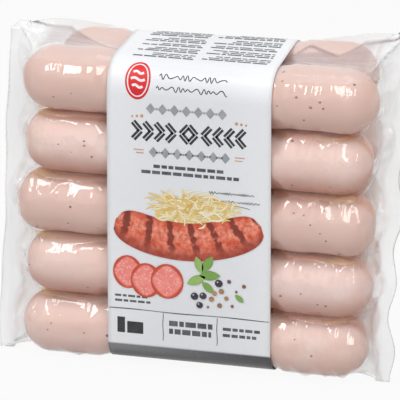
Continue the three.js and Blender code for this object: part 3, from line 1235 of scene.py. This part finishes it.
class PACK_OT_band(bpy.types.Operator):
    """Wraps the paper band round the pack"""

    bl_idname = "sausage_pack.band"
    bl_label = "Build paper band"

    def execute(self, context):
        piece, across, up = band_mesh()
        mark(piece.data, "across", across / BAND_HALF_WIDTH)
        foot = np.where(up > BAND.length / 2, up - BAND.length, up)
        depth = 0.5 * smooth(-foot, -0.4, 1.0) + 0.5 * smooth(-foot, 1.0, 9.0)
        mark(piece.data, "up", depth * (foot > -60))
        wall = piece.modifiers.new("Paper thickness", "SOLIDIFY")
        wall.thickness = BAND_THICKNESS * MM
        wall.offset = -1.0
        piece.data.materials.append(band_finish(context.scene.pack_colours))
        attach(piece, "root")
        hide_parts("label_band")
        return {"FINISHED"}


# ---- print on the band ----------------------------------------------------------------------

# Height of the print off the paper, and of each layer of it over the one below
PRINT_LIFT = 0.06
PRINT_LAYER = 0.02


class Printed:
    """Shapes printed on the band, laid out flat across and up it, layer on layer."""

    def __init__(self, name):
        self.name = name
        self.bm = bmesh.new()
        self.layers = {
            key: self.bm.verts.layers.float.new(key) for key in ("tint", "along", "off")
        }

    def form(self, place, steps, tint=0.5, layer=0):
        """Adds a grid from -1 to 1 both ways, moved by a function of along and off."""
        made = bmesh.ops.create_grid(
            self.bm, x_segments=steps[0], y_segments=steps[1], size=1.0)
        for vert in made["verts"]:
            along, off = vert.co.x, vert.co.y
            across, up = place(along, off)
            vert.co = (across, up, layer * PRINT_LAYER)
            for key, value in (("tint", tint), ("along", along), ("off", off)):
                vert[self.layers[key]] = value

    def block(self, left, right, low, high):
        """Adds a plain upright field."""
        steps = max(1, round((high - low) / 1.5)) if high > BAND.shoulder_run - 1 else 1
        self.form(
            lambda along, off: (
                between(left, right, (along + 1) / 2), between(low, high, (off + 1) / 2)),
            (1, steps))

    def disc(self, across, up, wide, tall, tint=0.5, layer=0, steps=6):
        """Adds a round or oval field."""
        self.form(
            lambda along, off: (
                across + wide * along * math.sqrt(1 - off * off / 2),
                up + tall * off * math.sqrt(1 - along * along / 2)),
            (steps, steps), tint, layer)

    def ribbon(self, centre, half_width, steps, tint=0.5, layer=0):
        """Adds a line with a width, along a centre line given as a function from 0 to 1."""

        def place(along, off):
            share = (along + 1) / 2
            here, ahead = Vector(centre(share)), Vector(centre(share + 0.01))
            way = (ahead - here).normalized()
            side = Vector((-way.y, way.x)) * off * half_width(share)
            return here.x + side.x, here.y + side.y

        self.form(place, (steps, 1), tint, layer)

    def stroke(self, start, stop, half_width, layer=0):
        """Adds a straight bar between two places."""
        self.ribbon(
            lambda t: (between(start[0], stop[0], t), between(start[1], stop[1], t)),
            lambda t: half_width, 2, layer=layer)

    def dashes(self, rng, left, right, up, tall, longest):
        """Adds a row of short bars of uneven width."""
        across = left
        while across < right - 1:
            wide = min(rng.uniform(1.6, longest), right - across)
            self.block(across, across + wide, up - tall / 2, up + tall / 2)
            across += wide + 0.7

    def build(self, finish):
        """Bends the flat shapes onto the band and makes them one piece."""
        bmesh.ops.remove_doubles(self.bm, verts=self.bm.verts, dist=0.001)
        flat = np.array([vert.co[:] for vert in self.bm.verts])
        points = settled(BAND.points(flat[:, 0], flat[:, 1], PRINT_LIFT + flat[:, 2]))
        for vert, place in zip(self.bm.verts, points):
            vert.co = place * MM
        self.bm.normal_update()
        if sum(face.normal.y < 0 for face in self.bm.faces) * 2 < len(self.bm.faces):
            bmesh.ops.reverse_faces(self.bm, faces=self.bm.faces)
        piece = finished(self.bm, self.name)
        piece.data.materials.append(finish)
        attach(piece, "root")
        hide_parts("label_band")


def ink_finish(name, dark, light):
    """Printed ink, slightly uneven, over the tooth of the paper."""
    f = Finish(name)
    uneven = f.ramp(f.cloud(f.place(), 240.0), 0.3, 0.75)
    return f.surface(f.paper_body(f.mix(uneven, dark, light), 0.38, 0.52))


def tinted_finish(name, colours, cloudy=0.3):
    """Printed ink that runs through several colours by each shape's own tint."""
    f = Finish(name)
    wander = f.times(f.sum("SUBTRACT", f.cloud(f.place(), 520.0), 0.5), cloudy)
    shades = f.node("ShaderNodeValToRGB", {"Fac": f.sum("ADD", f.number("tint"), wander)})
    ramp = shades.color_ramp
    while len(ramp.elements) < len(colours):
        ramp.elements.new(0.5)
    for n, colour in enumerate(colours):
        ramp.elements[n].position = n / (len(colours) - 1)
        ramp.elements[n].color = colour
    edge = f.ramp(f.sum("ABSOLUTE", f.number("off")), 0.5, 1.0, 0.0, 0.3)
    base = f.mix(edge, shades.outputs["Color"], tone(120, 96, 66))
    return f.surface(f.paper_body(base, 0.38, 0.52))


def grilled_finish():
    """A printed grilled sausage: red-brown, shaded round, with dark slanting bars."""
    f = Finish("Printed Grilled Sausage")
    place = f.place()
    along, off = f.number("along"), f.number("off")
    blotch = f.cloud(place, 330.0, 4.0, 0.65)
    shine = f.ramp(f.sum("ABSOLUTE", f.sum("SUBTRACT", off, 0.3)), 0.0, 0.5, 0.5, 0.0)
    wave = f.sum("SINE", f.sum("ADD", f.times(along, 20.0), f.times(off, 0.9)))
    ragged = f.times(f.sum("SUBTRACT", f.cloud(place, 420.0, 4.0), 0.5), 1.6)
    bars = f.ramp(f.sum("ADD", wave, ragged), 0.45, 0.85)
    base = f.coats(
        tone(206, 78, 50),
        (f.ramp(blotch, 0.35, 0.68), tone(245, 144, 116)),
        (f.times(shine, f.ramp(f.cloud(place, 600.0), 0.4, 0.7)), tone(255, 204, 178)),
        (f.ramp(off, -0.15, -0.95, 0.0, 0.75), tone(140, 40, 30)),
        (f.ramp(off, 0.6, 1.0, 0.0, 0.6), tone(186, 58, 26)),
        (f.times(bars, f.ramp(off, -0.9, -0.2, 0.25, 0.92)), tone(118, 32, 16)),
    )
    return f.surface(f.paper_body(base, 0.36, 0.5))


def slice_finish():
    """Printed cut faces: pink with pale flecks inside a browned rim."""
    f = Finish("Printed Cut Face")
    place = f.place()
    along, off = f.number("along"), f.number("off")
    reach = f.sum("SQRT", f.sum("ADD", f.times(along, along), f.times(off, off)))
    flecks = f.cells(place, FLECK_SCALE)["Distance"]
    base = f.coats(
        tone(255, 196, 188),
        (f.ramp(flecks, 0.1, 0.5), tone(242, 134, 126)),
        (f.ramp(f.cloud(place, 260.0), 0.4, 0.7, 0.0, 0.5), tone(252, 164, 150)),
        (f.ramp(reach, 0.8, 0.98), tone(200, 74, 48)),
    )
    return f.surface(f.paper_body(base, 0.38, 0.52))


def print_seal(colours):
    """The red seal: an oval field with a white ring and three white waves."""
    centre, height = -22.8, 121.4
    field = Printed("print_seal")
    field.disc(centre, height, 5.6, 8.7, steps=24)
    red = tuple(colours.emblem)
    field.build(ink_finish("Seal Red", red, tuple(0.88 * c for c in red[:3]) + (1.0,)))
    marks = Printed("print_seal_marks")
    marks.ribbon(
        lambda t: (
            centre + 4.5 * math.cos(t * math.tau), height + 7.3 * math.sin(t * math.tau)),
        lambda t: 0.28, 48, layer=1)
    for up, wide in ((124.6, 2.3), (121.6, 3.1), (118.6, 2.3)):
        marks.ribbon(
            lambda t, up=up, wide=wide: (
                centre + wide * (2 * t - 1), up + 0.55 * math.sin(2 * math.pi * t)),
            lambda t: 0.55, 10, layer=1)
    marks.build(ink_finish("Seal White", tone(232, 232, 232), tone(244, 244, 244)))


def ornament_strokes():
    """Strokes of the bold ornament: chevrons on both sides that point in to a diamond."""
    low, high, middle = 94.8, 102.6, 98.7
    strokes = []
    for way in (-1, 1):
        for start in (24.6, 19.6, 14.6, 9.6):
            tip = (way * (start - 3.4), middle)
            strokes.append(((way * start, high), tip))
            strokes.append((tip, (way * start, low)))
    corners = [(-3.4, middle), (0.0, high), (3.4, middle), (0.0, low)]
    return strokes + list(zip(corners, corners[1:] + corners[:1]))


def print_black_and_white():
    """A bold ornament, wavy lines and two blocks in black ink, with white in its strokes."""
    black = Printed("print_black_fields")
    inner = Printed("print_white_fields")
    for start, stop in ornament_strokes():
        black.stroke(start, stop, 1.3)
        inner.stroke(start, stop, 0.2, layer=1)
    for up, left, right, swing, turns in (
        (123.6, -13.4, 16.4, 1.3, 62), (118.4, -14.4, 16.8, 1.2, 70),
        (73.2, 9.0, 29.0, 0.6, 95), (69.6, 6.5, 31.5, 0.6, 110),
    ):
        black.ribbon(
            lambda t, up=up, left=left, right=right, swing=swing, turns=turns: (
                between(left, right, t),
                up + swing * (0.35 + 0.65 * math.sin(t * 9 + up) ** 2)
                * math.sin(t * turns + 2 * math.sin(t * 17))),
            lambda t, swing=swing: 0.1 + 0.09 * swing, 260)
    black.ribbon(
        lambda t: (between(13.5, 27.0, t), 67.0 + 0.9 * math.sin(math.pi * t)),
        lambda t: 0.14, 16)
    black.block(-32.0, -28.6, 5.0, 12.2)
    black.block(-27.6, -20.4, 5.0, 10.4)
    black.build(ink_finish("Ink Black", tone(34, 34, 37), tone(52, 52, 55)))
    inner.build(ink_finish("Ink White", tone(214, 216, 219), tone(226, 228, 231)))


def print_grey_and_brown():
    """Rows of grey lozenges and dots, and small brown marks at their ends."""
    grey = Printed("print_grey_fields")
    for up, left, right in ((109.0, -16.8, 14.8), (89.3, -15.6, 16.2)):
        for n in range(7):
            across = between(left, right, n / 6)
            grey.form(
                lambda along, off, across=across, up=up: (
                    across + 2.1 * (1 - abs(along)) * off, up + 2.5 * along),
                (8, 2))
            if n < 6:
                grey.disc(across + (right - left) / 12, up, 0.55, 0.55, steps=8)
    grey.build(ink_finish("Ink Grey", tone(150, 152, 156), tone(170, 172, 176)))

    brown = Printed("print_brown_marks")
    for way in (-1, 1):
        for n, size in enumerate((0.75, 0.6, 0.45)):
            brown.disc(way * (20.9 + 2.1 * n) + 0.2, 105.4 - 0.2 * n, size, size)
        for up, wide in ((90.0, 4.4), (88.6, 3.4)):
            left = 20.4 if way > 0 else -20.0 - wide
            brown.block(left, left + wide, up - 0.22, up + 0.22)
    brown.build(ink_finish("Ink Brown", tone(196, 140, 104), tone(216, 164, 130)))


def print_lines():
    """Rows of short bars, and three thin rules."""
    rng = random.Random(41)
    small = Printed("print_small_lines")
    for left, right, up, tall, longest in (
        (-15.6, 16.6, 83.0, 1.5, 5.0), (-21.0, 22.2, 80.2, 1.5, 5.0),
        (-33.0, -18.5, 22.2, 1.0, 3.5), (-33.0, -15.5, 19.9, 1.0, 3.5),
        (-8.8, 10.6, 11.2, 2.4, 5.0), (-8.8, 10.0, 7.5, 2.4, 5.0),
        (15.2, 33.2, 10.8, 1.4, 4.0), (15.2, 30.6, 7.9, 1.4, 4.0),
    ):
        small.dashes(rng, left, right, up, tall, longest)
    for left, right, start in ((-28.0, -1.5, 136.0), (2.0, 31.5, 137.5)):
        up = start
        for lines in (3, 3, 2, 3, 4):
            for line in range(lines):
                inset = rng.uniform(0, 9) if line else 0.0
                small.dashes(rng, left + inset, right, up, 1.0 if line else 1.3, 7.0)
                up += 2.1
            up += 1.6
    small.build(ink_finish("Ink Small", tone(70, 70, 74), tone(104, 104, 108)))

    rules = Printed("print_rules")
    rules.ribbon(
        lambda t: (between(-35.6, 35.6, t), 16.1 + 0.16 * math.sin(11 * t)),
        lambda t: 0.2 + 0.05 * math.sin(17 * t), 24)
    for across in (-11.5, 12.6):
        rules.ribbon(
            lambda t, across=across: (across + 0.12 * math.sin(8 * t), between(2.8, 15.6, t)),
            lambda t: 0.16, 8)
    rules.build(ink_finish("Ink Rules", tone(58, 58, 61), tone(92, 92, 96)))


def arch(share):
    """A place on the printed sausage's middle line, which hangs and climbs to the right."""
    return Vector((
        between(-32.5, 32.0, share), 49.5 + 9.0 * (2 * share - 1) ** 2 + 2.5 * (share - 0.5)))


def turned(across, up, way, along, off):
    """A place moved along a direction and off to its side."""
    return (
        across + along * math.cos(way) - off * math.sin(way),
        up + along * math.sin(way) + off * math.cos(way))


def print_heap(rng):
    """A yellow heap with shreds that lie every way."""
    heap = Printed("print_yellow_heap")
    heap.disc(2.0, 62.0, 17.0, 8.2, steps=30)
    heap.build(tinted_finish("Printed Yellow Heap", (
        tone(240, 214, 140), tone(232, 194, 110)), 0.8))
    shreds = Printed("print_yellow_shreds")
    for n in range(190):
        turn = rng.uniform(0, math.tau)
        reach = math.sqrt(rng.random())
        across = 2.0 + 19.5 * reach * math.cos(turn)
        up = 65.0 + 8.5 * reach * math.sin(turn)
        if up > 72 and across > 5:
            continue
        way = rng.uniform(0, math.pi)
        long = rng.uniform(2.2, 5.2)
        bow = rng.uniform(-1.6, 1.6)
        shreds.ribbon(
            lambda t, across=across, up=up, way=way, long=long, bow=bow: (
                across + (2 * t - 1) * long * math.cos(way)
                - bow * math.sin(math.pi * t) * math.sin(way),
                up + (2 * t - 1) * 0.6 * long * math.sin(way)
                + bow * math.sin(math.pi * t) * math.cos(way)),
            lambda t: 0.16 + 0.34 * math.sin(math.pi * min(max(t, 0.02), 0.98)),
            8, tint=rng.random() * (1.0 - 0.45 * reach), layer=1 + 0.04 * n)
    shreds.build(tinted_finish("Printed Yellow Shreds", (
        tone(250, 243, 218), tone(244, 226, 170), tone(232, 194, 106), tone(222, 170, 78))))


def print_grill():
    """A curved grilled sausage and three round slices."""
    sausage = Printed("print_grilled_sausage")

    def grilled(along, off):
        share = (along + 1) / 2
        here = arch(share)
        way = (arch(share + 0.01) - here).normalized()
        half = 8.7 * (1 - abs(along) ** 7) ** 0.42 if abs(along) < 1 else 0.0
        return here.x - way.y * half * off, here.y + way.x * half * off

    sausage.form(grilled, (64, 12), layer=7)
    sausage.build(grilled_finish())

    slices = Printed("print_slices")
    for n, (across, up, wide, tall) in enumerate((
        (-27.2, 33.4, 6.6, 7.6), (-19.0, 30.2, 6.9, 7.9), (-9.6, 30.6, 7.3, 8.0),
    )):
        slices.disc(across, up, wide, tall, layer=8 + n, steps=14)
    slices.build(slice_finish())


def print_garnish(rng):
    """Leaves and pepper corns, the corns with a glint."""
    leaves = Printed("print_leaves")
    for across, up, way, long in (
        (4.6, 39.5, 1.9, 4.0), (8.4, 40.2, 1.0, 4.4), (9.4, 35.0, 0.05, 4.8),
        (3.4, 32.4, -2.7, 4.6), (22.6, 25.6, -0.7, 2.6), (8.6, 29.4, -0.75, 3.6),
    ):
        leaves.form(
            lambda along, off, across=across, up=up, way=way, long=long: turned(
                across, up, way, long * along, 0.46 * long * (1 - along * along) * off),
            (12, 4), tint=rng.random(), layer=11)
    leaves.build(tinted_finish("Printed Leaves", (
        tone(92, 138, 58), tone(124, 168, 78), tone(156, 194, 108))))

    corns = Printed("print_corns")
    for across, up, size, tint in (
        (2.6, 24.9, 1.7, 0.05), (6.4, 25.4, 1.6, 0.1), (13.4, 31.8, 1.75, 0.0),
        (4.9, 21.0, 1.5, 0.1), (10.2, 24.2, 1.2, 0.9), (11.6, 27.0, 1.1, 0.95),
        (14.6, 28.2, 1.2, 0.85), (16.8, 25.2, 1.0, 0.9), (18.0, 33.0, 0.9, 0.6),
        (24.6, 31.4, 0.9, 0.6), (13.8, 21.6, 1.1, 0.75), (19.4, 21.8, 0.7, 0.7),
        (8.6, 20.4, 0.6, 0.7), (21.2, 28.6, 0.6, 0.6),
    ):
        corns.disc(across, up, size, size, tint=tint, layer=12)
    corns.build(tinted_finish("Printed Corns", (
        tone(42, 38, 54), tone(70, 58, 72), tone(134, 92, 72), tone(188, 148, 112)), 0.5))

    glints = Printed("print_glints")
    for across, up in ((2.1, 25.5), (5.9, 26.0), (12.9, 32.4), (4.4, 21.5)):
        glints.disc(across, up, 0.4, 0.35, layer=13, steps=2)
    glints.build(ink_finish("Printed Glints", tone(196, 196, 214), tone(220, 220, 232)))


def print_meal():
    """A printed serving: a heap of shreds, a grilled sausage with slices, leaves and corns."""
    rng = random.Random(5)
    print_heap(rng)
    print_grill()
    print_garnish(rng)


class PACK_OT_print(bpy.types.Operator):
    """Prints fields of colour and simple pictures on the band"""

    bl_idname = "sausage_pack.print"
    bl_label = "Build band print"

    def execute(self, context):
        print_seal(context.scene.pack_colours)
        print_black_and_white()
        print_grey_and_brown()
        print_lines()
        print_meal()
        return {"FINISHED"}


# ---- stage ----------------------------------------------------------------------------------

CAMERA_AZIMUTH = math.radians(14.34)
CAMERA_ELEVATION = math.radians(20.32)
CAMERA_DISTANCE = 2442.5
CAMERA_TARGET = (-2.58, 0.0, 69.2)
FRAME_WIDTH = 174.0
SENSOR = 36.0
# Name, compass angle, height angle, distance, width, height and power of each lamp
LAMPS = (
    ("Left softbox", -36, 57, 1.3, 0.38, 0.36, 3.5),
    ("Right softbox", 46, 54, 1.3, 0.34, 0.8, 4.3),
    ("Back softbox", 170, 62, 1.4, 0.7, 0.5, 0.9),
    ("Front fill", -12, 30, 2.4, 3.0, 2.4, 9.6),
)
FLOOR_HALF = 3.0
# How bright the camera sees the floor, and how much the white sky lights the pack
FLOOR_BRIGHT = 0.93
SKY_LIGHT = 0.59


def direction(azimuth, elevation):
    """Unit vector from the pack out towards a compass angle (0 in front) and a height angle."""
    return Vector((
        math.sin(azimuth) * math.cos(elevation),
        -math.cos(azimuth) * math.cos(elevation),
        math.sin(elevation),
    ))


def aimed(name, data, place, target):
    """A linked lamp or camera at a place, turned to the target."""
    thing = bpy.data.objects.new(name, data)
    bpy.context.scene.collection.objects.link(thing)
    thing.location = place
    thing.rotation_euler = (target - place).to_track_quat("-Z", "Y").to_euler()
    return thing


def camera_rays(f):
    """One for rays from the camera and for mirror rays, nought for the others."""
    path = f.node("ShaderNodeLightPath").outputs
    return f.sum("MAXIMUM", path["Is Camera Ray"], path["Is Glossy Ray"])


class PACK_OT_stage(bpy.types.Operator):
    """Sets the pale floor, the soft lights and the camera"""

    bl_idname = "sausage_pack.stage"
    bl_label = "Build stage"

    def execute(self, context):
        scene = context.scene
        target = (Vector(CAMERA_TARGET) + Vector(SHIFT)) * MM
        lens = bpy.data.cameras.new("Camera")
        lens.sensor_width = SENSOR
        lens.lens = SENSOR * CAMERA_DISTANCE / FRAME_WIDTH
        lens.clip_end = 20.0
        away = direction(CAMERA_AZIMUTH, CAMERA_ELEVATION)
        scene.camera = aimed("Camera", lens, target + away * CAMERA_DISTANCE * MM, target)

        bm = bmesh.new()
        bmesh.ops.create_grid(bm, x_segments=8, y_segments=8, size=FLOOR_HALF)
        floor = finished(bm, "floor")
        f = Finish("Pale Floor")
        tooth = f.cloud(f.place(), 60.0, 2.0)
        body = f.body(
            Base_Color=f.mix(tooth, (0.5, 0.5, 0.5, 1), (0.46, 0.46, 0.46, 1)), Roughness=0.8)
        bright = f.node("ShaderNodeEmission", {"Color": (1, 1, 1, 1), "Strength": 1.0})
        seen = f.times(camera_rays(f), FLOOR_BRIGHT)
        floor.data.materials.append(f.surface(f.blend(seen, body, bright.outputs[0])))

        for name, azimuth, elevation, distance, width, height, power in LAMPS:
            lamp = bpy.data.lights.new(name, "AREA")
            lamp.shape = "RECTANGLE"
            lamp.size = width
            lamp.size_y = height
            lamp.energy = power
            away = direction(math.radians(azimuth), math.radians(elevation))
            aimed(name, lamp, target + away * distance, target)

        world = bpy.data.worlds.new("Studio")
        scene.world = world
        world.use_nodes = True
        f = Nodes(world.node_tree)
        strength = f.node("ShaderNodeMapRange", {
            "Value": camera_rays(f), "To Min": SKY_LIGHT, "To Max": 1.0,
        }).outputs["Result"]
        sky = f.node("ShaderNodeBackground", {"Color": (1, 1, 1, 1), "Strength": strength})
        f.node("ShaderNodeOutputWorld", {"Surface": sky.outputs[0]})
        scene.view_settings.view_transform = "Standard"
        return {"FINISHED"}


# ---- panel and run --------------------------------------------------------------------------


class PACK_PT_panel(bpy.types.Panel):
    """Lists the steps that build the pack"""

    bl_label = "Sausage Pack"
    bl_idname = "PACK_PT_panel"
    bl_space_type = "VIEW_3D"
    bl_region_type = "UI"
    bl_category = "Sausage Pack"

    def draw(self, context):
        layout = self.layout
        for settings in (context.scene.pack_sizes, context.scene.pack_colours):
            box = layout.box()
            for name in settings.__annotations__:
                box.prop(settings, name)
        for step in STEPS:
            layout.operator(step.bl_idname)


STEPS = (
    PACK_OT_sausages, PACK_OT_pepper, PACK_OT_film, PACK_OT_band, PACK_OT_print,
    PACK_OT_stage,
)
CLASSES = (PackSizes, PackColours, *STEPS, PACK_PT_panel)


def register():
    for item in CLASSES:
        bpy.utils.register_class(item)
    bpy.types.Scene.pack_sizes = PointerProperty(type=PackSizes)
    bpy.types.Scene.pack_colours = PointerProperty(type=PackColours)


def unregister():
    del bpy.types.Scene.pack_colours
    del bpy.types.Scene.pack_sizes
    for item in reversed(CLASSES):
        bpy.utils.unregister_class(item)


def main():
    register()
    bpy.ops.sausage_pack.sausages()
    bpy.ops.sausage_pack.pepper()
    bpy.ops.sausage_pack.film()
    bpy.ops.sausage_pack.band()
    bpy.ops.sausage_pack.print()
    bpy.ops.sausage_pack.stage()


if __name__ == "__main__":
    main()
